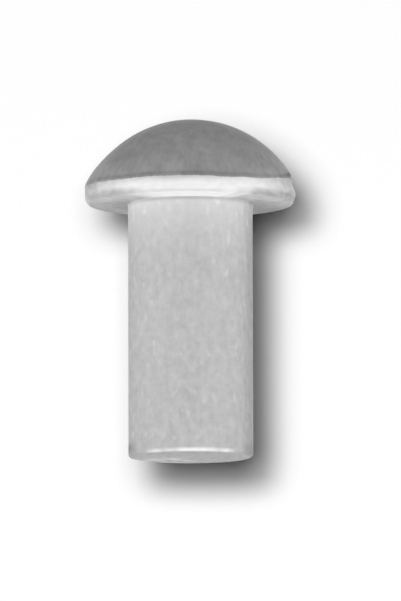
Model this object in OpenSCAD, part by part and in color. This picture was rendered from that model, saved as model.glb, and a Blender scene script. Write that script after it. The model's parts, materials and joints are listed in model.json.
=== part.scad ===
// Solid round head rivet, cold headed in one piece from drawn wire, not yet set.
// Millimetres. The origin is on the axis, in the plane of the head's bearing face.
// +Z runs along the axis towards the head, so the shank hangs below the origin.

/* [Shank] */
// Diameter of the shank
shank_d = 3.175; // [2.4:0.005:4.4]
// Length of the shank, from the bearing face to the end
shank_l = 6.45; // [3:0.01:20]
// Radius of the rounded edge round the shank's end
end_edge_r = 0.08; // [0.02:0.01:0.4]

/* [Head] */
// Diameter of the head at its widest
head_d = 5.37; // [4.8:0.01:5.5]
// Height of the head above the bearing face
head_h = 2.15; // [1.95:0.01:2.6]
// Radius of the spherical dome
dome_r = 2.95; // [2.85:0.01:3.4]
// Radius of the fillet where the shank meets the bearing face
seat_fillet_r = 0.06; // [0.02:0.01:0.2]

/* [Rim] */
// Radius of the slight outward bulge between the dome's sharp edge and the rim's widest point
rim_bulge_r = 3; // [2:0.1:6]
// Radius of the rounded corner between the rim's widest point and the bearing face
rim_corner_r = 0.17; // [0.05:0.01:0.25]

/* [Hidden] */
$fn = 120;

shank_r = shank_d / 2;
head_r = head_d / 2;

// Every section is drawn with X as the distance from the axis and Y as the height.

// A quarter of a disc, to the right of its centre and above it.
module quarter_disc(radius) {
    intersection() {
        circle(r = radius);
        square(2 * radius);
    }
}

// A block on the axis that stands on the X line, with its lower outer corner rounded.
module rounded_block(radius, height, corner_r) {
    square([radius - corner_r, height]);
    translate([radius - corner_r, corner_r]) rotate(-90) quarter_disc(corner_r);
    translate([0, corner_r]) square([radius, height - corner_r]);
}

// What a corner gains when it is filleted: the corner is at the origin, and the fillet
// lies to the right of it and below it.
module fillet(radius) {
    translate([0, -radius]) difference() {
        square(radius);
        translate([radius, 0]) circle(r = radius);
    }
}

// The rim that bulged freely while the die formed the dome. It is widest at the top of its
// rounded corner, and it runs on upwards past the dome's edge.
module rim_section() {
    square([head_r - rim_corner_r, head_h]);
    translate([head_r - rim_corner_r, rim_corner_r]) rotate(-90) quarter_disc(rim_corner_r);
    translate([head_r - rim_bulge_r, rim_corner_r]) quarter_disc(rim_bulge_r);
}

// The head. The sphere that the die pressed cuts the bulged rim, and their meeting line is
// the sharp edge round the dome.
module head_section() {
    intersection() {
        square(2 * head_r);
        rim_section();
        translate([0, head_h - dome_r]) circle(r = dome_r);
    }
}

// The shank with its rounded end edge, and the fillet under the head.
module shank_section() {
    translate([0, -shank_l]) rounded_block(shank_r, shank_l, end_edge_r);
    translate([shank_r, 0]) fillet(seat_fillet_r);
}

module rivet() {
    color("silver") rotate_extrude() {
        head_section();
        shank_section();
    }
}

rivet();
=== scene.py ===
# %% [markdown]
# # A solid round head rivet
#
# The rivet is one piece of soft aluminium. A length of drawn wire was pushed into a die, and a
# blow formed the round head on its end. It has not been set yet, so the shank is straight and its
# far end is as the wire cutter left it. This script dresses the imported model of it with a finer
# skin that has the small faults of the real thing, four finishes of the same metal, and a plain
# white studio.

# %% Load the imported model
import json
import math

import bpy
from mathutils import Matrix, Vector, noise


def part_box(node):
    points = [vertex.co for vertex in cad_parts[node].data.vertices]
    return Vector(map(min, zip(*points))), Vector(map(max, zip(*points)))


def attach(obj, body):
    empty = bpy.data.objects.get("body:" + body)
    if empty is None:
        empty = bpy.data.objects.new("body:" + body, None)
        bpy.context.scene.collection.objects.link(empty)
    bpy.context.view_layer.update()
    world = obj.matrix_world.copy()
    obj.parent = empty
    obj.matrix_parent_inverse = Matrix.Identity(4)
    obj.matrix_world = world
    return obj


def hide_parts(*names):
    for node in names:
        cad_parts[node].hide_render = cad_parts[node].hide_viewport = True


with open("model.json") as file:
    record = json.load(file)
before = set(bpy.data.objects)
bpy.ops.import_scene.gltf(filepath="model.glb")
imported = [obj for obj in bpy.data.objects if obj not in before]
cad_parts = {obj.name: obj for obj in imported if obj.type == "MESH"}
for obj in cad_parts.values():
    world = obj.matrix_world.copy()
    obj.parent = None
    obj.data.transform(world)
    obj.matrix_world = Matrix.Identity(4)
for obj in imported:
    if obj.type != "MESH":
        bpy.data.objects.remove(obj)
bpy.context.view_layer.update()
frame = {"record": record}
MM = 0.001

# %% [markdown]
# ## Sizes
#
# Everything here is worked out in millimetres and turned into metres when a mesh is made. The
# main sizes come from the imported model, so that the skin keeps to it: the box gives the head's
# radius, the dome's height and the shank's length, and the shank's mount gives its radius. The
# fillet is drawn a little sharper than in the model and the end's edge a little softer, as the
# light shows them.

# %% Sizes in millimetres
low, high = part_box("rivet")
head_r = high.x / MM
head_h = high.z / MM
shank_l = -low.z / MM
mounts = {mount["name"]: mount for mount in frame["record"]["mounts"]}
shank_r = mounts["shank"]["dims"]["r_mm"]
dome_r = 2.95
fillet_r = 0.015
end_edge_r = 0.085
print(f"head {2 * head_r:.3f} by {head_h:.3f}, shank {2 * shank_r:.3f} by {shank_l:.3f}")

# %% [markdown]
# ## Small unevenness
#
# Nothing on a cold headed rivet is quite round or flat. One smooth noise makes all of that: it is
# read at a point of the surface, and its size in millimetres says how wide the humps are. The
# layer moves the sample far away, so that two uses of it don't share the same humps. The smooth
# step is the other tool used all over: it turns one thing on gradually along another. Its two
# ends are often kept as a pair with a name.

# %% Noise and smooth steps
LAYER_GAP = 37.1
RIGHT_FOCUS = 6


def uneven(x, y, z, size, layer):
    """Smooth noise, about -1 to 1, with humps size millimetres wide."""
    return noise.noise(Vector((x / size, y / size, z / size + LAYER_GAP * layer)))


def round_the_axis(angle, radius, size, layer):
    """The same noise along a circle round the axis."""
    return uneven(radius * math.cos(angle), radius * math.sin(angle), 0, size, layer)


def patchy(angle, radius, size, layer, mean, swing):
    """A share that differs round the axis: the mean, more or less by up to the swing."""
    return mean + swing * round_the_axis(angle, radius, size, layer)


def smooth_step(low_end, high_end, value):
    """0 at low_end, 1 at high_end, and a smooth slope between."""
    share = min(1, max(0, (value - low_end) / (high_end - low_end)))
    return share * share * (3 - 2 * share)


def bell(distance, width):
    """1 at no distance, falling smoothly to nothing a few widths away."""
    return math.exp(-((distance / width) ** 2))


def frontness(angle):
    """1 at the front of the rivet, 0 at its left and right, -1 at the back."""
    return -math.sin(angle)


def from_the_right(angle):
    """The angle from the rivet's right, the short way round."""
    return math.remainder(angle, 2 * math.pi)


def rightness(angle):
    """1 at the right of the rivet, 0 at its front and all over its left half."""
    return max(0, math.cos(angle)) ** RIGHT_FOCUS


print("noise at the top of the dome:", round(uneven(0, 0, head_h, 0.5, 0), 3))

# %% [markdown]
# ## The dome's edge
#
# The die's hollow ends in a sharp edge, and its print is the line round the dome. On the real
# rivet that line is ragged: the metal was squeezed out past the die in small teeth, it dips in a
# few places, and at the right, where the die bit deepest, it climbs. A clean circle would look
# like plastic, so the height of the line is worked out for every angle.

# %% Height of the dome's edge
edge_height = 0.398
tooth_height = 0.012
tooth_size = 0.2
fine_tooth_size = 0.06
fine_tooth_share = 0.8
right_climb = 0.3
climb_reach = math.radians(52)
climb_tip = math.radians(14)
# angle in degrees, half width in degrees, depth in mm
edge_dips = [(-71, 7, 0.028), (-133, 15, 0.024), (58, 9, 0.020), (140, 14, 0.022)]


def edge_z(angle):
    """Height of the dome's ragged edge."""
    teeth = round_the_axis(angle, head_r, tooth_size, 1)
    teeth += fine_tooth_share * round_the_axis(angle, head_r, fine_tooth_size, 2)
    from_right = math.hypot(from_the_right(angle), climb_tip)
    height = edge_height + tooth_height * teeth
    height += right_climb * max(0, 1 - from_right / climb_reach)
    for place, width, depth in edge_dips:
        off = from_the_right(angle - math.radians(place))
        height -= depth * bell(off, math.radians(width))
    return height


heights = [edge_z(math.radians(a)) for a in range(360)]
print(f"the dome's edge runs from {min(heights):.3f} to {max(heights):.3f} mm above the seat")

# %% [markdown]
# ## The dome
#
# The die's hollow pressed this part, so it is a true sphere. The blow came slightly off centre:
# the sphere sits a little to the right of the shank. At the left the metal was pushed out a
# little past the sphere, front and back are a little flatter, and at the right a small step runs
# round where the die bit in.

# %% The dome's surface
# to the right, full at this share of the way down from the top
dome_shift = 0.0355
shift_full = 0.3
# each pair of heights says where a change starts and where it is full
left_push = 0.055
push_heights = (1.5, 0.6)
flatter = 0.022
flatter_heights = (1.5, 0.4)
# the step's heights are counted from the dome's edge
step_depth = 0.05
step_heights = (0.14, 0.07)
# shallow humps, which fade out near the edge
dome_hump = 0.003
hump_size = 0.9
hump_calm = 0.3
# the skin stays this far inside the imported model, and bends in softly before it gets there
skin_spare = 0.003
hold_soft = 0.04
widest = head_r - skin_spare


def held_in(radius):
    """Bends a radius in smoothly so that it never passes the head's widest."""
    over = radius - (widest - hold_soft)
    if over <= 0:
        return radius
    return widest - hold_soft + hold_soft * math.tanh(over / hold_soft)


def dome(share, angle):
    """share runs from 0 at the top of the dome to 1 at its edge."""
    centre_z = head_h - dome_r
    last = math.acos((edge_z(angle) - centre_z) / dome_r)
    polar = last * share
    x = dome_r * math.sin(polar) * math.cos(angle)
    y = dome_r * math.sin(polar) * math.sin(angle)
    z = centre_z + dome_r * math.cos(polar)
    above_edge = z - edge_z(angle)
    hump = abs(dome_hump * uneven(x, y, z, hump_size, 3))
    hump *= smooth_step(0, hump_calm, above_edge)
    x += dome_shift * smooth_step(0, shift_full, share)
    x -= left_push * smooth_step(*push_heights, z) * max(0, -math.cos(angle))
    x -= step_depth * smooth_step(*step_heights, above_edge) * rightness(angle)
    y *= 1 - flatter * smooth_step(*flatter_heights, z)
    far = math.hypot(x, y)
    keep = held_in(far) / far if far else 1
    return x * keep, y * keep, z - hump


print("the dome's edge at the front, mm:", [round(v, 3) for v in dome(1, -math.pi / 2)])

# %% [markdown]
# ## The rim
#
# The metal between the die and the shank bulged out freely. It leaves the dome's edge, swells to
# the head's full width and rolls under to the flat bearing face. At the right it made a thick lip
# with a groove under it, and elsewhere only a faint crease runs round where the roll ends.

# %% The rim's profile
# heights where the rim is widest and where it starts to roll under
waist_z = 0.235
roll_z = 0.17
roll_more_at_sides = 0.055
# outer radius of the bearing face, and how far it and the rim lie to the right
bevel_r = 2.545
bevel_shift = -0.025
rim_shift = -0.008
rim_spare = 0.014
rim_wobble = 0.003
rim_wobble_size = 0.7
# the dimples leave the dome's edge and the bearing face alone
rim_dimple = 0.002
rim_dimple_size = 0.2
rim_dimple_start = 0.2
roll_dimple_end = 0.6
# the lip at the right narrows from this share of the way up
lip_reach = 0.85
crease_z, crease_depth, crease_width = 0.03, 0.003, 0.02
groove_z, groove_depth, groove_width = 0.13, 0.03, 0.035


def rim_r(angle):
    """The head's widest radius, a little uneven and shifted to the left."""
    wobble = rim_wobble * round_the_axis(angle, head_r, rim_wobble_size, 4)
    return head_r - rim_spare + rim_shift * math.cos(angle) + wobble


def roll_start(angle):
    """Height at which the rim starts to roll under: higher at the sides."""
    return roll_z + roll_more_at_sides * math.cos(angle) ** 2


def rim(share, angle):
    """share runs from 0 at the dome's edge to 1 where the rim starts to roll under."""
    top = edge_z(angle)
    edge_x, edge_y, _ = dome(1, angle)
    edge_r = math.hypot(edge_x, edge_y)
    z = top + (roll_start(angle) - top) * share
    rise = abs(z - waist_z) / (top - waist_z)
    lip = rightness(angle)
    narrowing = (1 - lip) * rise * rise + lip * smooth_step(0, lip_reach, rise)
    radius = rim_r(angle) - (rim_r(angle) - edge_r) * narrowing
    x, y = radius * math.cos(angle), radius * math.sin(angle)
    dimple = rim_dimple * uneven(x, y, z, rim_dimple_size, 5)
    radius += dimple * smooth_step(0, rim_dimple_start, share)
    radius = min(radius, widest)
    return radius * math.cos(angle), radius * math.sin(angle), z


def seat_r(angle):
    """Outer radius of the flat bearing face."""
    return bevel_r + bevel_shift * math.cos(angle)


def roll(share, angle):
    """share runs from 0 at the start of the roll to 1 at the bearing face."""
    turn = share * math.pi / 2
    start_x, start_y, _ = rim(1, angle)
    start_r = math.hypot(start_x, start_y)
    z = roll_start(angle) * (1 - math.sin(turn))
    radius = seat_r(angle) + (start_r - seat_r(angle)) * math.cos(turn)
    x, y = radius * math.cos(angle), radius * math.sin(angle)
    dimple = rim_dimple * uneven(x, y, z, rim_dimple_size, 5)
    radius += dimple * smooth_step(1, roll_dimple_end, share)
    radius -= crease_depth * bell(z - crease_z, crease_width) * (1 - share)
    radius -= groove_depth * bell(z - groove_z, groove_width) * rightness(angle)
    radius = min(radius, widest)
    return radius * math.cos(angle), radius * math.sin(angle), z


sides = [round(rim_r(angle), 3) for angle in (math.pi, 0)]
print("the rim's widest radius at the left and right, mm:", sides)

# %% [markdown]
# ## The bearing face, the fillet and the shank
#
# The bearing face was pressed flat by the front of the die, which left faint rings on it. The
# shank is the wire as it was drawn, so it keeps its size all the way, with a few shallow knocks
# from the barrel. The head was struck a hair out of square to it, so the shank leans by a
# hundredth or two of a millimetre.

# %% Profiles of the bearing face, the fillet and the shank
# radius, width and height of the rings that the die left
rings = [(2.36, 0.022, 0.004), (2.17, 0.02, 0.005), (1.9, 0.03, 0.004)]
# a hump is at most twice as high as this
seat_hump = 0.004
seat_hump_size = 0.35
# the humps are full from a sixth of the way in from either border
border_fade = 6
# the knocks are longer than wide, and there are none just under the head
knock_depth = 0.004
knock_width = 0.8
knock_stretch = 1.6
knock_calm = 0.3
right_flat = 0.014
end_lean = 0.018
# shares of the end edge's radius
edge_uneven = 0.2
edge_uneven_size = 0.45
edge_more_at_right = 0.15
edge_more_in_front = 0.2


def seat(share, angle):
    """share runs from 0 at the outside of the bearing face to 1 at the fillet."""
    outer, inner = seat_r(angle), shank_r + fillet_r
    radius = outer + (inner - outer) * share
    x, y = radius * math.cos(angle), radius * math.sin(angle)
    height = seat_hump * (1 + uneven(x, y, 0, seat_hump_size, 6))
    for ring_radius, ring_width, ring_height in rings:
        height += ring_height * bell(radius - ring_radius, ring_width)
    return x, y, height * min(1, border_fade * min(share, 1 - share))


def fillet(share, angle):
    """share runs from 0 at the bearing face to 1 at the shank."""
    turn = share * math.pi / 2
    radius = shank_r + fillet_r * (1 - math.sin(turn))
    return radius * math.cos(angle), radius * math.sin(angle), -fillet_r * (1 - math.cos(turn))


def edge_size(angle):
    """How far the blade rolled the end's edge over: most in front and at the right."""
    share = 1 + edge_more_at_right * math.cos(angle) + edge_more_in_front * frontness(angle)
    uneven_share = edge_uneven * round_the_axis(angle, shank_r, edge_uneven_size, 10)
    return end_edge_r * (share + uneven_share)


def lean(z):
    """How far the shank's axis has moved to the right at a height."""
    return end_lean * -z / shank_l


def shank_radius(angle, z):
    """The shank's radius with its shallow knocks."""
    x, y = shank_r * math.cos(angle), shank_r * math.sin(angle)
    fade = min(1, max(0, (-z - fillet_r) / knock_calm))
    knocks = (1 + uneven(x, y, z / knock_stretch, knock_width, 7)) / 2
    return shank_r - (knock_depth * knocks + right_flat * rightness(angle)) * fade


def shank(share, angle):
    """share runs from 0 under the fillet to 1 at the rounded end edge."""
    z = -fillet_r - (shank_l - fillet_r - edge_size(angle)) * share
    radius = shank_radius(angle, z)
    return radius * math.cos(angle) + lean(z), radius * math.sin(angle), z


print("the shank's end leans to the right by", round(lean(-shank_l), 3), "mm")

# %% [markdown]
# ## The cut end
#
# The wire was sheared. The cut is close to square, and the blade rolled the edge over unevenly.
# Across the face the metal tore, so it is rougher than anything else on the rivet.

# %% Profiles of the end
end_tilt = 0.002
tear_depth = 0.009
tear_size = 0.45
fine_tear_size = 0.14
fine_tear_stretch = 1.5
# how deep the face is torn on the whole, and what the wide and the fine tears add to it
tear_mean, tear_swing, fine_tear_swing = 0.5, 0.4, 0.35
# the tears are full inside this share of the shank's radius
tear_full = 0.8


def end_z(x, y):
    """Height of the cut face: lowest at the left, torn here and there."""
    slope = end_tilt * (x + shank_r)
    tear = tear_mean + tear_swing * uneven(x, y, 0, tear_size, 8)
    tear += fine_tear_swing * uneven(x * fine_tear_stretch, y, 0, fine_tear_size, 9)
    inside = smooth_step(shank_r - end_edge_r, tear_full * shank_r, math.hypot(x, y))
    return -shank_l + slope + tear_depth * max(0, tear) * inside


def end_inner(angle):
    """Radius at which the cut face starts, inside its rolled edge."""
    return shank_radius(angle, -shank_l + edge_size(angle)) - edge_size(angle)


def end_edge(share, angle):
    """share runs from 0 at the end of the shank to 1 at the cut face."""
    turn = share * math.pi / 2
    start_z = -shank_l + edge_size(angle)
    inner = end_inner(angle)
    radius = inner + (shank_radius(angle, start_z) - inner) * math.cos(turn)
    x, y = radius * math.cos(angle), radius * math.sin(angle)
    stop_z = end_z(inner * math.cos(angle), inner * math.sin(angle))
    return x + lean(start_z), y, start_z + (stop_z - start_z) * math.sin(turn)


def end_face(share, angle):
    """share runs from 0 at the rounded edge to 1 at the middle."""
    radius = end_inner(angle) * (1 - share)
    x, y = radius * math.cos(angle), radius * math.sin(angle)
    return x + lean(-shank_l), y, end_z(x, y)


print("the cut face is", round((end_z(0, 0) + shank_l) * 1000), "microns up at its middle")

# %% [markdown]
# ## Painted shade
#
# Thin dark lines of painted shade follow the rivet's edges, creases and corners, where a noise in
# a material can't put them, and the smear and the nick are kept with them. So the shade is worked
# out for each point of the skin and kept on the mesh, where the materials read it. Each zone has a
# small function of its own. Most of them go by how far a place lies to the front: the front is left
# unshaded, and the left, the right and the hidden back get painted shade.

# %% Painted shade on the dome
# painted shade in a line over the dome's edge: how high over it, how wide and how dark
line_height, line_width, line_dark = 0.075, 0.05, 0.9
line_mean, line_less_at_right = 0.85, 0.15
# painted shade in the dark corner at the line's right end, its reach as an angle
corner_height, corner_size, corner_reach, corner_dark = 0.06, 0.09, 0.35, 2.6
darkest = 1.6
# x, z, size and darkness of two marks that face the front
smear = (-1.74, 1.0, 0.28, 0.3)
nick = (-1.58, -6.24, 0.1, 0.9)
# y where a mark is gone, and where it is whole
mark_end = (0.25, -0.1)


def mark_at(place, point):
    """How dark one of the two marks is at a point."""
    x, z, size, dark = place
    in_front = smooth_step(*mark_end, point[1])
    return dark * bell(math.hypot(point[0] - x, point[2] - z), size) * in_front


def dome_shade_and_smear(share, angle, point):
    """Painted shade in a patchy line just over the dome's edge and a dark corner at its right end,
    and the smear.
    """
    above_edge = point[2] - edge_z(angle)
    line = line_dark * bell(above_edge - line_height, line_width)
    line *= patchy(angle, head_r, size=0.3, layer=11, mean=0.75, swing=0.6)
    line *= line_mean - line_less_at_right * math.cos(angle)
    corner = corner_dark * bell(above_edge - corner_height, corner_size)
    corner *= bell(from_the_right(angle), corner_reach)
    return min(darkest, line + corner + mark_at(smear, point))


print("grime in the middle of the smear:", mark_at(smear, (smear[0], -1, smear[1])))

# %% Painted shade on the rim
rim_dark = 0.45
crease_dark = 0.3
# how far round to the front the crease's line starts, and where it is full
crease_front = (0.5, 0.9)
groove_dark = 0.5


def rim_painted_shade(share, angle, point):
    """Painted shade, darkest against the dome's edge."""
    return rim_dark * (1 - share) ** 2


def roll_painted_shade(share, angle, point):
    """Painted shade in a patchy line in the crease at the front, and in the groove at the right."""
    in_crease = crease_dark * bell(point[2] - crease_z, 2 * crease_width)
    in_crease *= patchy(angle, head_r, size=0.6, layer=16, mean=0.8, swing=0.7)
    in_crease *= smooth_step(*crease_front, frontness(angle))
    in_groove = groove_dark * bell(point[2] - groove_z, groove_width) * rightness(angle)
    return in_crease + in_groove


print("grime in the groove at the right:", round(roll_painted_shade(0.2, 0, (0, 0, groove_z)), 2))

# %% Painted shade on the bearing face
# shares of the way in from the outside of the face
inner_part = (0.3, 0.8)
shank_line = (0.9, 1.0)
outer_dark, inner_more = 0.5, 0.45
# how far to the front the face is left unshaded, how much farther next to the shank, and where the
# painted shade is full
lit_from, lit_farther, shaded_from = 0.5, 0.5, -0.1
# the back: where it starts and is full, how dark it is, and its share, larger at the right
back_part = (0, -0.6)
back_dark = 1.25
back_share, back_more_at_right = 0.65, 0.35
# straight behind the shank the painted shade stops again
behind_shank = (-0.97, -0.8)
shank_line_front = (-0.3, 0.1)
shank_line_dark = 0.4


def seat_painted_shade(share, angle, point):
    """Painted shade: none at the front, some at both sides, most at the back, and a line round the
    shank.
    """
    front = frontness(angle)
    inwards = smooth_step(*inner_part, share)
    shaded = smooth_step(lit_from + lit_farther * inwards, shaded_from, front)
    shaded *= outer_dark + inner_more * inwards
    to_back = back_share + back_more_at_right * math.cos(angle)
    to_back *= smooth_step(*back_part, front)
    shaded += (back_dark - shaded) * to_back
    shaded *= smooth_step(*behind_shank, front)
    line = smooth_step(*shank_line, share) * smooth_step(*shank_line_front, front)
    return shaded + shank_line_dark * line


at_right_back = [round(seat_painted_shade(0.5, math.radians(a), None), 2) for a in (-90, 0, 40)]
print("grime on the bearing face at the front, right and right back:", at_right_back)

# %% Painted shade on the shank and its end
fillet_dark, fillet_more_at_sides = 0.45, 0.55
fillet_sides = (0.5, 0.2)
# heights between which the painted shade line under the head fades in
under_head = (-0.11, -0.03)
under_head_dark, under_head_more = 0.38, 0.15
under_head_front = (0.4, 0.85)
# heights over the end between which the painted shade on its sides fades in
over_end = (0.5, 0.1)
end_sides = (0.66, 0.4)
end_side_dark = 0.3


def fillet_painted_shade(share, angle, point):
    """Painted shade: a dark line, darker at both sides."""
    at_sides = smooth_step(*fillet_sides, abs(frontness(angle)))
    return fillet_dark + fillet_more_at_sides * at_sides


def shank_shade_and_nick(share, angle, point):
    """Painted shade in a line under the head and on the sides near the end, and the nick."""
    front = abs(frontness(angle))
    if point[2] < -shank_l / 2:
        at_sides = end_side_dark * smooth_step(*over_end, point[2] + shank_l)
        return at_sides * smooth_step(*end_sides, front) + mark_at(nick, point)
    more = under_head_more * smooth_step(*under_head_front, front)
    more *= patchy(angle, shank_r, size=0.25, layer=12, mean=1, swing=0.8)
    return smooth_step(*under_head, point[2]) * (under_head_dark + more)


def end_edge_painted_shade(share, angle, point):
    """Painted shade at both sides."""
    return end_side_dark * smooth_step(*end_sides, abs(frontness(angle)))


fillet_shades = [round(fillet_painted_shade(0, math.radians(a), None), 2) for a in (-90, 180)]
print("grime in the fillet at the front and left:", fillet_shades)

# %% [markdown]
# ## Painted sheen
#
# A painted sheen makes some of the metal bright: the front of the rim and of the cut edge, and the
# top of the shank under the head. The left and right of the rim are left darker. This is kept on
# the mesh in the same way as the painted shade.

# %% Painted sheen on the rim
# how far to the front the painted sheen on the rim's upper part starts, and where it is full
upper_front = (0.25, 0.9)
upper_more_at_right = 0.25
# the same for the lower part, at the front and at the back
lower_front = (0.68, 0.97)
lower_back = (0.85, 1.0)
# heights between which the upper part gives way to the lower
rim_middle = (0.21, 0.06)


def ragged(angle):
    """A little noise that makes the border of a painted sheen or highlight ragged."""
    return patchy(angle, head_r, size=0.3, layer=13, mean=0, swing=0.08)


def head_painted_sheen(share, angle, point):
    """Painted sheen: the rim is bright at its front and back, and lower down only near the very
    front.
    """
    front = frontness(angle)
    upper = smooth_step(*upper_front, abs(front) + ragged(angle))
    upper += upper_more_at_right * rightness(angle)
    lower = smooth_step(*lower_front, front + ragged(angle))
    lower += smooth_step(*lower_back, -front + ragged(angle))
    return upper + (lower - upper) * smooth_step(*rim_middle, point[2])


rim_shine = [head_painted_sheen(0, math.radians(a), (0, 0, 0.3)) for a in (-90, 180, 90, 0)]
print("the rim is painted_bright at the front, left, back and right:", [round(s, 2) for s in rim_shine])

# %% Painted sheen on the shank and painted highlights on the cut end
# the painted sheen reaches this far down the shank, and falls off with this power
sheen_reach, sheen_fall, sheen_under_head = 2.0, 2.2, 0.45
# a painted highlight strip to the left of the front: its two borders and its heights
strip_in, strip_out = (0.2, 0.55), (0.95, 0.7)
strip_heights = (-0.5, -0.05)
strip_shine = 0.12
# a faint painted sheen over the whole shank, and painted shade that dims its right side
whole_shank_shine = 0.05
less_at_right = 0.5
# the cut edge: how far to the front its painted highlight line starts, and its middle and width
cut_edge_front = (0.62, 0.84)
cut_edge_middle, cut_edge_width = 0.45, 0.4
# angle, width and strength of the brightest painted spot on it
spot_angle, spot_width, spot_shine = -1.36, 0.07, 0.4
# x, y and size of the torn patch on the cut face that carries a painted highlight
torn_x, torn_y, torn_size = -0.6, 0.9, 0.643
torn_shine, torn_mean, torn_swing, torn_grain = 0.75, 0.6, 1.2, 0.3


def shank_painted_sheen(share, angle, point):
    """Painted sheen: brightest under the head, above all to the left of the front, dimmer downwards
    and at the right.
    """
    front = abs(frontness(angle))
    near = max(0, 1 + point[2] / sheen_reach) ** sheen_fall
    strip = smooth_step(*strip_in, front) * smooth_step(*strip_out, front)
    strip *= smooth_step(*strip_heights, point[2]) * max(0, -math.cos(angle))
    slowly = whole_shank_shine * (1 + point[2] / shank_l)
    total = sheen_under_head * near + strip_shine * strip + slowly
    return total * (1 - less_at_right * rightness(angle))


def end_edge_painted_highlight(share, angle, point):
    """A painted highlight along the front and back of the cut edge, with one brighter spot."""
    along = patchy(angle, shank_r, size=0.25, layer=15, mean=0.68, swing=0.6)
    along += spot_shine * bell(from_the_right(angle - spot_angle), spot_width)
    along *= smooth_step(*cut_edge_front, abs(frontness(angle)) + ragged(angle))
    return along * bell(share - cut_edge_middle, cut_edge_width)


def end_face_painted_highlight(share, angle, point):
    """A painted highlight on one torn patch."""
    x, y, _ = point
    torn = bell(math.hypot(x - torn_x, y - torn_y), torn_size)
    return torn_shine * torn * max(0, torn_mean + torn_swing * uneven(x, y, 0, torn_grain, 14))


down = [round(shank_painted_sheen(0, -math.pi / 2, (0, 0, -z)), 2) for z in (0, 1, 3, 6)]
print("the shank's front is painted_bright, 0, 1, 3 and 6 mm down:", down)

# %% [markdown]
# ## One closed skin
#
# The profiles follow one another from the top of the dome to the middle of the cut end. The skin
# is woven round the axis from rings of points, like a basket, so it is closed. Each zone has as
# many rings as its detail needs. The rivet is left out of its own reflections: on the real one
# white paper lay so close under the head that the bearing face mirrors nothing else.

# %% Weave the skin
SEGMENTS = 512
EDGE_CROWDING = 1.8
DIE_PRESSED, UPSET, DRAWN, SHEARED = range(4)


def none_at_all(share, angle, point):
    """For a zone that carries no painted shade or marks, or no painted sheen."""
    return 0


zones = [
    # profile, rings, finish, painted shade and marks, painted sheen
    (dome, 46, DIE_PRESSED, dome_shade_and_smear, none_at_all),
    (rim, 18, UPSET, rim_painted_shade, head_painted_sheen),
    (roll, 16, UPSET, roll_painted_shade, head_painted_sheen),
    (seat, 20, UPSET, seat_painted_shade, head_painted_sheen),
    (fillet, 4, DRAWN, fillet_painted_shade, shank_painted_sheen),
    (shank, 48, DRAWN, shank_shade_and_nick, shank_painted_sheen),
    (end_edge, 10, DRAWN, end_edge_painted_shade, end_edge_painted_highlight),
    (end_face, 24, SHEARED, none_at_all, end_face_painted_highlight),
]


def ring_shares(profile, count):
    """Where the rings lie along a zone. They crowd towards its sharp ends."""
    for number in range(count):
        share = number / count
        if profile is dome:
            share = 1 - (1 - share) ** EDGE_CROWDING
        if profile is shank:
            share = smooth_step(0, 1, share)
        yield share


def weave(name):
    """The skin's mesh, with its finishes, its painted shade and marks, and its painted sheen."""
    points, faces, finishes = [(0, 0, head_h)], [], []
    painted_shades_and_marks, painted_sheens = [0], [0]
    starts = []
    for profile, count, finish, painted_shade_and_marks, painted_sheen in zones:
        for share in ring_shares(profile, count):
            if profile is dome and share == 0:
                continue
            starts.append((len(points), finish))
            for step in range(SEGMENTS):
                angle = 2 * math.pi * step / SEGMENTS
                point = profile(share, angle)
                points.append(point)
                painted_shades_and_marks.append(painted_shade_and_marks(share, angle, point))
                painted_sheens.append(painted_sheen(share, angle, point))
    last = len(points)
    points.append((lean(-shank_l), 0, end_z(0, 0)))
    painted_shades_and_marks.append(0)
    painted_sheens.append(end_face_painted_highlight(1, 0, points[-1]))
    for step in range(SEGMENTS):
        after = (step + 1) % SEGMENTS
        faces.append((0, 1 + step, 1 + after))
        finishes.append(DIE_PRESSED)
        for (upper, finish), (lower, _) in zip(starts, starts[1:]):
            faces.append((upper + step, lower + step, lower + after, upper + after))
            finishes.append(finish)
        faces.append((starts[-1][0] + step, last, starts[-1][0] + after))
        finishes.append(SHEARED)
    mesh = bpy.data.meshes.new(name)
    mesh.from_pydata([Vector(p) * MM for p in points], [], faces)
    mesh.polygons.foreach_set("use_smooth", [True] * len(faces))
    mesh.polygons.foreach_set("material_index", finishes)
    mesh.attributes.new("painted_shade_and_marks", "FLOAT", "POINT").data.foreach_set("value", painted_shades_and_marks)
    mesh.attributes.new("painted_sheen", "FLOAT", "POINT").data.foreach_set("value", painted_sheens)
    mesh.update()
    return mesh


rivet_mesh = weave("rivet_skin")
edge_ring = 1 + (zones[0][1] - 1) * SEGMENTS
for edge in rivet_mesh.edges:
    if all(edge_ring <= v < edge_ring + SEGMENTS for v in edge.vertices):
        edge.use_edge_sharp = True
rivet = bpy.data.objects.new("rivet_skin", rivet_mesh)
bpy.context.scene.collection.objects.link(rivet)
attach(rivet, "root")
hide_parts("rivet")
rivet.visible_diffuse = False
rivet.visible_glossy = False
print(len(rivet_mesh.vertices), "points,", len(rivet_mesh.polygons), "faces")

# %% [markdown]
# ## Helpers for the finishes
#
# A material is a tree of nodes. One function adds any node and wires it, whatever its kind, and
# one turns a colour as a picture editor shows it into the linear colour that shaders use. Each
# pattern is drawn in the rivet's own coordinates, at a real size in millimetres.

# %% Colour and node helpers
SRGB_KNEE = 0.04045


def linear(code):
    """An sRGB colour such as #c8c8c8 as a linear colour."""
    shares = [int(code[i : i + 2], 16) / 255 for i in (1, 3, 5)]
    return [*(s / 12.92 if s <= SRGB_KNEE else ((s + 0.055) / 1.055) ** 2.4 for s in shares), 1]


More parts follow.
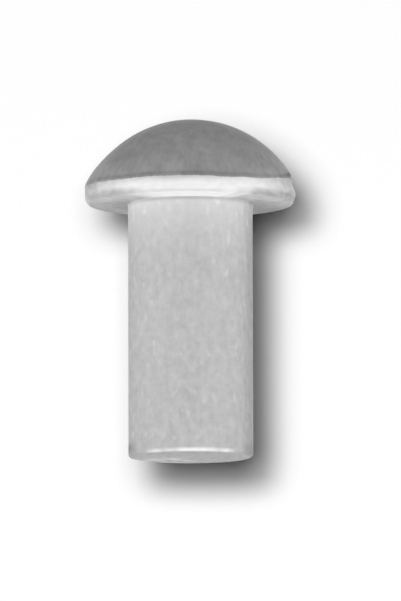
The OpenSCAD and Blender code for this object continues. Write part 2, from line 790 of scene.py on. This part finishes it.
def add(tree, kind, inputs=None, **settings):
    """Adds a node. inputs gives each socket a value, or another node to link to it.

    A node stands for its first output, and (node, name) for another of its outputs."""
    made = tree.nodes.new(kind)
    for name, value in settings.items():
        setattr(made, name, value)
    for socket, value in (inputs or {}).items():
        if isinstance(value, bpy.types.Node):
            value = (value, 0)
        if isinstance(value, tuple) and isinstance(value[0], bpy.types.Node):
            node, output = value
            tree.links.new(node.outputs[output], made.inputs[socket])
        else:
            made.inputs[socket].default_value = value
    return made


def new_material(name):
    """An empty material and its tree."""
    material = bpy.data.materials.new(name)
    material.use_nodes = True
    material.node_tree.nodes.clear()
    return material, material.node_tree


def sized(tree, across, along):
    """Inputs of a noise whose humps are across mm wide and along mm long down the axis."""
    place = add(tree, "ShaderNodeTexCoord")
    scale = (1 / (across * MM), 1 / (across * MM), 1 / (along * MM))
    where = add(tree, "ShaderNodeMapping", {"Vector": (place, "Object"), "Scale": scale})
    return {"Vector": where, "Scale": 1.0}


# Mix and Map Range nodes have sockets that share a name, so theirs are given by number
FACTOR, A, B = 0, 2, 3
COLOUR_A, COLOUR_B, COLOUR = 6, 7, 2
VALUE, FROM_LOW, FROM_HIGH, TO_LOW, TO_HIGH = range(5)
print("mid grey #808080 is", round(linear("#808080")[0], 3), "in linear light")

# %% [markdown]
# ## What the four finishes share
#
# All four are the same bare metal, so they share four steps. A noise leads from a darker to a
# paler grey. The metal turns brighter where the mesh carries painted sheen and darker where it
# carries painted shade or the smear and the nick. The shader is all metal, with an uneven
# roughness and a shallow relief. The tint is what it mirrors at a glance.

# %% Steps of every finish
# the grey of the painted shade, and of the smear and the nick
PAINTED_SHADE_AND_MARKS = linear("#303030")
# a noise texture hardly ever leaves this range
NOISE_SPAN = {FROM_LOW: 0.3, FROM_HIGH: 0.7}


def from_dark_to_pale(tree, pattern, dark, pale):
    """The metal's colour, which follows a noise."""
    share = add(tree, "ShaderNodeMapRange", {VALUE: pattern, **NOISE_SPAN})
    greys = {FACTOR: share, COLOUR_A: linear(dark), COLOUR_B: linear(pale)}
    return add(tree, "ShaderNodeMix", greys, data_type="RGBA"), COLOUR


def with_painted_sheen(tree, shaded, lit, more=0.0):
    """The shaded colour, which turns to the lit one where the mesh carries painted sheen."""
    mark = add(tree, "ShaderNodeAttribute", attribute_name="painted_sheen")
    share = add(tree, "ShaderNodeMath", {0: (mark, "Fac"), 1: more}, use_clamp=True)
    layers = {FACTOR: share, COLOUR_A: shaded, COLOUR_B: lit}
    return add(tree, "ShaderNodeMix", layers, data_type="RGBA"), COLOUR


def with_painted_shade_and_marks(tree, metal, strength):
    """The metal's colour, darkened by the painted shade and the two marks that the mesh carries."""
    mark = add(tree, "ShaderNodeAttribute", attribute_name="painted_shade_and_marks")
    share = add(tree, "ShaderNodeMath", {0: (mark, "Fac"), 1: strength}, operation="MULTIPLY")
    layers = {FACTOR: share, COLOUR_A: metal, COLOUR_B: PAINTED_SHADE_AND_MARKS}
    return add(tree, "ShaderNodeMix", layers, data_type="RGBA"), COLOUR


def bare_metal(tree, colour, tint, rough_by, rough, relief, depth):
    """The shader. rough_by says where the metal is rougher, and relief where it stands up."""
    span = {VALUE: rough_by, **NOISE_SPAN, TO_LOW: rough[0], TO_HIGH: rough[1]}
    inputs = {
        "Base Color": colour,
        "Metallic": 1.0,
        "Roughness": add(tree, "ShaderNodeMapRange", span),
        "Specular Tint": linear(tint),
        "Normal": add(tree, "ShaderNodeBump", {"Height": relief, "Distance": depth * MM}),
    }
    shader = add(tree, "ShaderNodeBsdfPrincipled", inputs)
    add(tree, "ShaderNodeOutputMaterial", {"Surface": shader})


print("grime is", round(PAINTED_SHADE_AND_MARKS[0], 3), "in linear light")

# %% [markdown]
# ## The dome: aluminium pressed by a polished die
#
# Soft aluminium takes the die's surface, which was worn: smooth, but no longer a mirror. To the
# eye it is an even mid grey with soft blotches, faint streaks where the metal slid down the
# hollow, and a dull reflection of what stands above it. Two noises make the blotches and the
# streaks, and a finer one makes the roughness and the relief.

# %% Die-pressed aluminium
def die_pressed_aluminium():
    """The dome's finish."""
    material, tree = new_material("die_pressed_aluminium")
    blotch = add(tree, "ShaderNodeTexNoise", sized(tree, across=0.3, along=0.45))
    streak = add(tree, "ShaderNodeTexNoise", sized(tree, across=0.12, along=0.9))
    grain = add(tree, "ShaderNodeTexNoise", sized(tree, across=0.09, along=0.09))
    streaky = add(tree, "ShaderNodeMix", {FACTOR: 0.45, A: blotch, B: streak})
    metal = from_dark_to_pale(tree, streaky, "#a2a2a2", "#bababa")
    colour = with_painted_shade_and_marks(tree, metal, strength=0.4)
    bare_metal(
        tree, colour, tint="#dadada", rough_by=grain, rough=(0.36, 0.44), relief=grain, depth=0.0012
    )
    return material


rivet_mesh.materials.append(die_pressed_aluminium())
print("finish 1:", rivet_mesh.materials[DIE_PRESSED].name)

# %% [markdown]
# ## The rim and the bearing face: upset aluminium
#
# No die touched the rim while it bulged, so its grains stand up and it is matt, as pale as bare
# aluminium gets. Where the mesh carries painted sheen it is nearly white, and elsewhere painted
# shade makes it greyer and more mottled. The blotches are the size that shows, a tenth of a
# millimetre and up.

# %% Upset aluminium
def upset_aluminium():
    """The finish of the rim and the bearing face."""
    material, tree = new_material("upset_aluminium")
    patch = add(tree, "ShaderNodeTexNoise", sized(tree, across=0.28, along=0.13))
    grain = add(tree, "ShaderNodeTexNoise", sized(tree, across=0.12, along=0.06))
    # a lit and a shaded copy of the same metal: the painted sheen picks between them
    lit = from_dark_to_pale(tree, patch, "#f6f6f6", "#ffffff")
    shaded = from_dark_to_pale(tree, patch, "#b6b6b6", "#cecece")
    metal = with_painted_sheen(tree, shaded, lit)
    colour = with_painted_shade_and_marks(tree, metal, strength=0.5)
    bare_metal(
        tree, colour, tint="#ffffff", rough_by=grain, rough=(0.46, 0.56), relief=grain, depth=0.002
    )
    return material


rivet_mesh.materials.append(upset_aluminium())
print("finish 2:", rivet_mesh.materials[UPSET].name)

# %% [markdown]
# ## The shank: drawn aluminium wire
#
# The wire was pulled through a hole, so fine lines run along it, and the barrel dulled it to a
# soft pale grey with blotches a fifth of a millimetre wide and a few small bright knocks. Next to
# the head a painted sheen makes it brighter. The real drawing lines are a hundredth of a
# millimetre wide, too fine for the picture, so they are drawn ten times as coarse.

# %% Drawn aluminium
KNOCK_TOPS = {FROM_LOW: 0.66, FROM_HIGH: 0.95}
KNOCK_SHINE = 0.3


def drawn_aluminium():
    """The shank's finish."""
    material, tree = new_material("drawn_aluminium")
    blotch = add(tree, "ShaderNodeTexNoise", sized(tree, across=0.18, along=0.2))
    streak = add(tree, "ShaderNodeTexNoise", sized(tree, across=0.12, along=0.6))
    lines = add(tree, "ShaderNodeTexNoise", sized(tree, across=0.12, along=0.7))
    streaky = add(tree, "ShaderNodeMix", {FACTOR: 0.25, A: blotch, B: streak})
    metal = from_dark_to_pale(tree, streaky, "#bdbdbd", "#d1d1d1")
    # only the highest tops of this noise show, as small bright knocks
    tops = {**sized(tree, across=0.17, along=0.23), "Detail": 0.0}
    knocks = {VALUE: add(tree, "ShaderNodeTexNoise", tops), **KNOCK_TOPS, TO_HIGH: KNOCK_SHINE}
    knocks = add(tree, "ShaderNodeMapRange", knocks)
    # painted sheen from the mesh, and the bright knocks
    metal = with_painted_sheen(tree, metal, linear("#ffffff"), more=knocks)
    colour = with_painted_shade_and_marks(tree, metal, strength=0.5)
    bare_metal(
        tree, colour, tint="#d8d8d8", rough_by=blotch, rough=(0.42, 0.5), relief=lines, depth=0.0014
    )
    return material


rivet_mesh.materials.append(drawn_aluminium())
print("finish 3:", rivet_mesh.materials[DRAWN].name)

# %% [markdown]
# ## The end: sheared aluminium
#
# The cutter slid through part of the wire and tore the rest. The face is a darker, coarser grey
# with short tears across it, and one torn patch carries a painted highlight.

# %% Sheared aluminium
def sheared_aluminium():
    """The cut face's finish."""
    material, tree = new_material("sheared_aluminium")
    tears = add(tree, "ShaderNodeTexNoise", sized(tree, across=0.12, along=0.12))
    metal = from_dark_to_pale(tree, tears, "#a8a8a8", "#cecece")
    # painted highlight on the torn patch, from the mesh
    colour = with_painted_sheen(tree, metal, linear("#fafafa"))
    bare_metal(
        tree, colour, tint="#d8d8d8", rough_by=tears, rough=(0.4, 0.55), relief=tears, depth=0.004
    )
    return material


rivet_mesh.materials.append(sheared_aluminium())
print("finish 4:", rivet_mesh.materials[SHEARED].name)

# %% [markdown]
# ## Floor and backdrop
#
# The rivet stands on a plain pale floor. The camera looks from just below the head, so it doesn't
# see the floor, and a white card behind the rivet takes its soft shadow. Each is a one-sided
# sheet: seen from behind it isn't there, so no view is blocked. The metal mirrors the white tent
# in place of both. A trace of glow in the paper stands for the light that a white room sends into
# a shadow.

# %% Floor and backdrop
backdrop_y = 40
backdrop_half = 26
backdrop_top = 26
floor_half = 300
floor_gap = 0.005
PAPER = "#f4f4f4"
paper_glow = 0.021


def pale_sheet(name, half, place, turn, far):
    """A one-sided white sheet. far is where its far side ends."""
    mesh = bpy.data.meshes.new(name)
    corners = [(-half, -half, 0), (half, -half, 0), (half, far, 0), (-half, far, 0)]
    mesh.from_pydata([Vector(c) * MM for c in corners], [], [(0, 1, 2, 3)])
    sheet = bpy.data.objects.new(name, mesh)
    sheet.matrix_world = Matrix.Translation(Vector(place) * MM) @ Matrix.Rotation(turn, 4, "X")
    bpy.context.scene.collection.objects.link(sheet)
    material, tree = new_material(name)
    paper = add(tree, "ShaderNodeBsdfDiffuse", {"Color": linear(PAPER)})
    glow = add(tree, "ShaderNodeEmission", {"Strength": paper_glow})
    front = add(tree, "ShaderNodeAddShader", {0: paper, 1: glow})
    back = add(tree, "ShaderNodeBsdfTransparent")
    side = add(tree, "ShaderNodeNewGeometry")
    shader = add(tree, "ShaderNodeMixShader", {FACTOR: (side, "Backfacing"), 1: front, 2: back})
    add(tree, "ShaderNodeOutputMaterial", {"Surface": shader})
    mesh.materials.append(material)
    return sheet


backdrop = pale_sheet("backdrop", backdrop_half, (0, backdrop_y, 0), math.pi / 2, backdrop_top)
floor = pale_sheet("floor", floor_half, (0, 0, -shank_l - floor_gap), 0, floor_half)
backdrop.visible_glossy = False
floor.visible_glossy = False
floor.visible_shadow = False
floor.visible_diffuse = False
print("floor at", round(-shank_l - floor_gap, 3), "mm, backdrop", backdrop_y, "mm behind")

# %% [markdown]
# ## The light tent
#
# Bare metal shows what stands round it, so it is photographed in a tent: white silk all round.
# The world is plain white for the background. The tent is a large ball that only the metal's
# reflections see, and its light depends on the direction that it comes from. It is bright at eye
# level and below, dimmer overhead, and a little brighter again high up at both sides. Behind the
# rivet on the right a darker curtain hangs low, and the camera dims the place that it looks from.

# %% World and tent
world = bpy.data.worlds.new("white_studio")
world.use_nodes = True
background = world.node_tree.nodes["Background"].inputs
background["Color"].default_value = (1, 1, 1, 1)
background["Strength"].default_value = 1.0
world.cycles_visibility.diffuse = False
world.cycles.sampling_method = "NONE"
bpy.context.scene.world = world

tent_radius, tent_rings, tent_sides = 60, 24, 48
# degrees that the ball is open at its top and bottom
tent_opening = 2
HORIZON = 0.95
OVERHEAD_FRONT = 0.63
OVERHEAD_BACK = 0.475
SIDE_LIGHT = 0.08
RIGHT_CURTAIN = 0.5
CAMERA_SHADE = 0.075
# where each change of the light starts and ends, as shares of the direction's length
DIMS_UPWARDS = {FROM_LOW: 0.25, FROM_HIGH: 0.78}
CURTAIN_DEPTH = {FROM_LOW: 0.2, FROM_HIGH: 0.9}
CURTAIN_HEIGHT = {FROM_LOW: 0.3, FROM_HIGH: 0.1}
SIDE_DISTANCE = {FROM_LOW: 0.3, FROM_HIGH: 0.9}
SIDE_HEIGHT = {FROM_LOW: 0.15, FROM_HIGH: 0.45}
CAMERA_WAY, CAMERA_REACH = (0, -1, 0.12), 0.55


def ball(name, radius, rings_up, sides):
    """A ball of quads, open at its top and bottom."""
    points, faces = [], []
    for ring in range(rings_up + 1):
        rise = math.radians((90 - tent_opening) * (2 * ring / rings_up - 1))
        for step in range(sides):
            turn = 2 * math.pi * step / sides
            flat = radius * math.cos(rise)
            points.append((flat * math.cos(turn), flat * math.sin(turn), radius * math.sin(rise)))
    for ring in range(rings_up):
        for step in range(sides):
            here, after = ring * sides + step, ring * sides + (step + 1) % sides
            faces.append((here, after, after + sides, here + sides))
    mesh = bpy.data.meshes.new(name)
    mesh.from_pydata([Vector(p) * MM for p in points], [], faces)
    made = bpy.data.objects.new(name, mesh)
    bpy.context.scene.collection.objects.link(made)
    return made


def tent_silk():
    """Light by direction: across is the X share of it, depth the Y share and height the Z."""
    material, tree = new_material("tent_silk")
    smooth = {"interpolation_type": "SMOOTHSTEP"}
    place = add(tree, "ShaderNodeTexCoord")
    unit = add(tree, "ShaderNodeVectorMath", {0: (place, "Object")}, operation="NORMALIZE")
    parts = add(tree, "ShaderNodeSeparateXYZ", {0: unit})
    across, depth, height = (parts, "X"), (parts, "Y"), (parts, "Z")
    up = add(tree, "ShaderNodeMapRange", {VALUE: height, **DIMS_UPWARDS}, **smooth)
    overhead = {FROM_LOW: -1.0, TO_LOW: OVERHEAD_FRONT, TO_HIGH: OVERHEAD_BACK}
    ceiling = add(tree, "ShaderNodeMapRange", {VALUE: depth, **overhead})
    sky = add(tree, "ShaderNodeMix", {FACTOR: up, A: HORIZON, B: ceiling})
    behind = add(tree, "ShaderNodeMapRange", {VALUE: depth, **CURTAIN_DEPTH}, **smooth)
    right = add(tree, "ShaderNodeMapRange", {VALUE: across, TO_HIGH: -RIGHT_CURTAIN})
    hung_low = add(tree, "ShaderNodeMapRange", {VALUE: height, **CURTAIN_HEIGHT}, **smooth)
    curtain = add(tree, "ShaderNodeMath", {0: behind, 1: right}, operation="MULTIPLY")
    curtain = add(tree, "ShaderNodeMath", {0: curtain, 1: hung_low}, operation="MULTIPLY")
    beside = add(tree, "ShaderNodeMath", {0: across}, operation="ABSOLUTE")
    beside = add(tree, "ShaderNodeMapRange", {VALUE: beside, **SIDE_DISTANCE, TO_HIGH: SIDE_LIGHT})
    hung_high = add(tree, "ShaderNodeMapRange", {VALUE: height, **SIDE_HEIGHT}, **smooth)
    beside = add(tree, "ShaderNodeMath", {0: beside, 1: hung_high}, operation="MULTIPLY")
    from_camera = add(tree, "ShaderNodeVectorMath", {0: unit, 1: CAMERA_WAY}, operation="DISTANCE")
    near = {FROM_HIGH: CAMERA_REACH, TO_LOW: -CAMERA_SHADE, TO_HIGH: 0.0}
    shade = add(tree, "ShaderNodeMapRange", {VALUE: (from_camera, "Value"), **near}, **smooth)
    total = add(tree, "ShaderNodeMath", {0: sky, 1: curtain})
    total = add(tree, "ShaderNodeMath", {0: total, 1: shade})
    total = add(tree, "ShaderNodeMath", {0: total, 1: beside})
    light = add(tree, "ShaderNodeEmission", {"Strength": total})
    add(tree, "ShaderNodeOutputMaterial", {"Surface": light})
    material.cycles.emission_sampling = "NONE"
    return material


tent = ball("tent", tent_radius, tent_rings, tent_sides)
tent.data.materials.append(tent_silk())
tent.visible_camera = False
tent.visible_diffuse = False
tent.visible_shadow = False
print("tent of", len(tent.data.polygons), "faces,", 2 * tent_radius, "mm across")

# %% [markdown]
# ## The light on the floor
#
# The tent and the world don't light the paper, so that its tone can be set apart from the metal's.
# A broad soft sun lights the floor alone, and only the rivet shades it.

# %% Floor light
sun_strength = 3.8
sun_blur = math.radians(35)
sun_way = Vector((0.3, 0.3, -1))


def only_lights(lamp, sheet):
    """The lamp lights that sheet alone, and only the rivet shades it."""
    receivers = bpy.data.collections.new(lamp.name + "_lights")
    receivers.objects.link(sheet)
    lamp.light_linking.receiver_collection = receivers
    shading = bpy.data.collections.new(lamp.name + "_blocked_by")
    shading.objects.link(rivet)
    lamp.light_linking.blocker_collection = shading


sun_light = bpy.data.lights.new("floor_sun", "SUN")
sun_light.energy = sun_strength
sun_light.angle = sun_blur
floor_sun = bpy.data.objects.new("floor_sun", sun_light)
floor_sun.rotation_mode = "QUATERNION"
floor_sun.rotation_quaternion = sun_way.to_track_quat("-Z", "Y")
bpy.context.scene.collection.objects.link(floor_sun)
only_lights(floor_sun, floor)
print("floor sun of strength", sun_strength)

# %% [markdown]
# ## The camera
#
# The photograph was taken from just below the head, so that the underside of the rim and the cut
# end both show as thin strips. A long lens keeps the sides of the shank parallel. The camera is
# placed from what can be measured in the picture: how wide the shank is, where its axis runs and
# how high the seat lies.

# %% Camera
PHOTO_W, PHOTO_H = 401, 601
AXIS_X, SEAT_Y = 190.5, 204.3
SHANK_PX = 125.3
below = math.radians(6.8)
mm_per_px = 2 * shank_r / SHANK_PX
camera_data = bpy.data.cameras.new("camera")
camera_data.lens = 500
camera_data.sensor_width = 36
camera_data.clip_start = 0.001
camera_data.clip_end = 1.0
camera = bpy.data.objects.new("camera", camera_data)
bpy.context.scene.collection.objects.link(camera)
bpy.context.scene.camera = camera
forward = Vector((0, math.cos(below), math.sin(below)))
distance = PHOTO_H * mm_per_px / camera_data.sensor_width * camera_data.lens
aim_x = (PHOTO_W / 2 - AXIS_X) * mm_per_px
aim_z = -(PHOTO_H / 2 - SEAT_Y) * mm_per_px / math.cos(below)
camera.location = (Vector((aim_x, 0, aim_z)) - forward * distance) * MM
camera.rotation_mode = "QUATERNION"
camera.rotation_quaternion = forward.to_track_quat("-Z", "Y")
print(f"camera {distance:.1f} mm away, {mm_per_px:.4f} mm a pixel")

# %% [markdown]
# ## The light on the backdrop
#
# The shadow on the card lies to the right of the rivet and below it, soft all round. Two round
# lamps stand near the camera, up and to its left: a large one for the soft outer shadow and a
# smaller, weaker one for its darker heart. A lamp as far away as the camera throws a shadow as
# large as the rivet looks, and one a little nearer a slightly larger one. A sun's would be too
# small.

# %% Backdrop lamps
PAPER_WHITE = linear(PAPER)[0]


def lamp_by_camera(name, white, larger, right, down, blur):
    """A round lamp near the camera, which lights the card and throws the rivet's shadow on it.

    white is the share of white that it gives the card, and larger how many times larger its
    shadow is than the rivet looks. right, down and blur are in pixels of the picture: how far
    the shadow lies from the rivet, and how soft it is."""
    right, down, blur = (pixels * mm_per_px for pixels in (right, down, blur))
    behind = backdrop_y / math.cos(below)
    shrink = distance / (distance + behind)
    away = behind / (larger / shrink - 1)
    share = behind / away * shrink
    up = Vector((1, 0, 0)).cross(forward)
    place = Vector(camera.location) / MM + forward * (distance - away)
    place += Vector((-right / share, 0, 0)) + up * (down / share)
    light = bpy.data.lights.new(name, "POINT")
    light.shadow_soft_size = blur / share * MM
    light.energy = white * 4 * math.pi**2 * ((away + behind) * MM) ** 2 / PAPER_WHITE
    lamp = bpy.data.objects.new(name, light)
    lamp.location = place * MM
    lamp.visible_camera = False
    lamp.visible_glossy = False
    bpy.context.scene.collection.objects.link(lamp)
    only_lights(lamp, backdrop)
    print(f"{name}: radius {light.shadow_soft_size / MM:.1f} mm, {light.energy:.2f} W")


lamp_by_camera("wide_lamp", white=0.648, larger=1.012, right=17.2, down=20.6, blur=33)
lamp_by_camera("narrow_lamp", white=0.339, larger=1.022, right=20.6, down=26.4, blur=15.5)

# %% [markdown]
# ## Finish
#
# The picture's colours are shown plainly: the view transform is set to Standard. The skin has
# to stay inside the imported model's box.

# %% Finish
bpy.context.scene.view_settings.view_transform = "Standard"
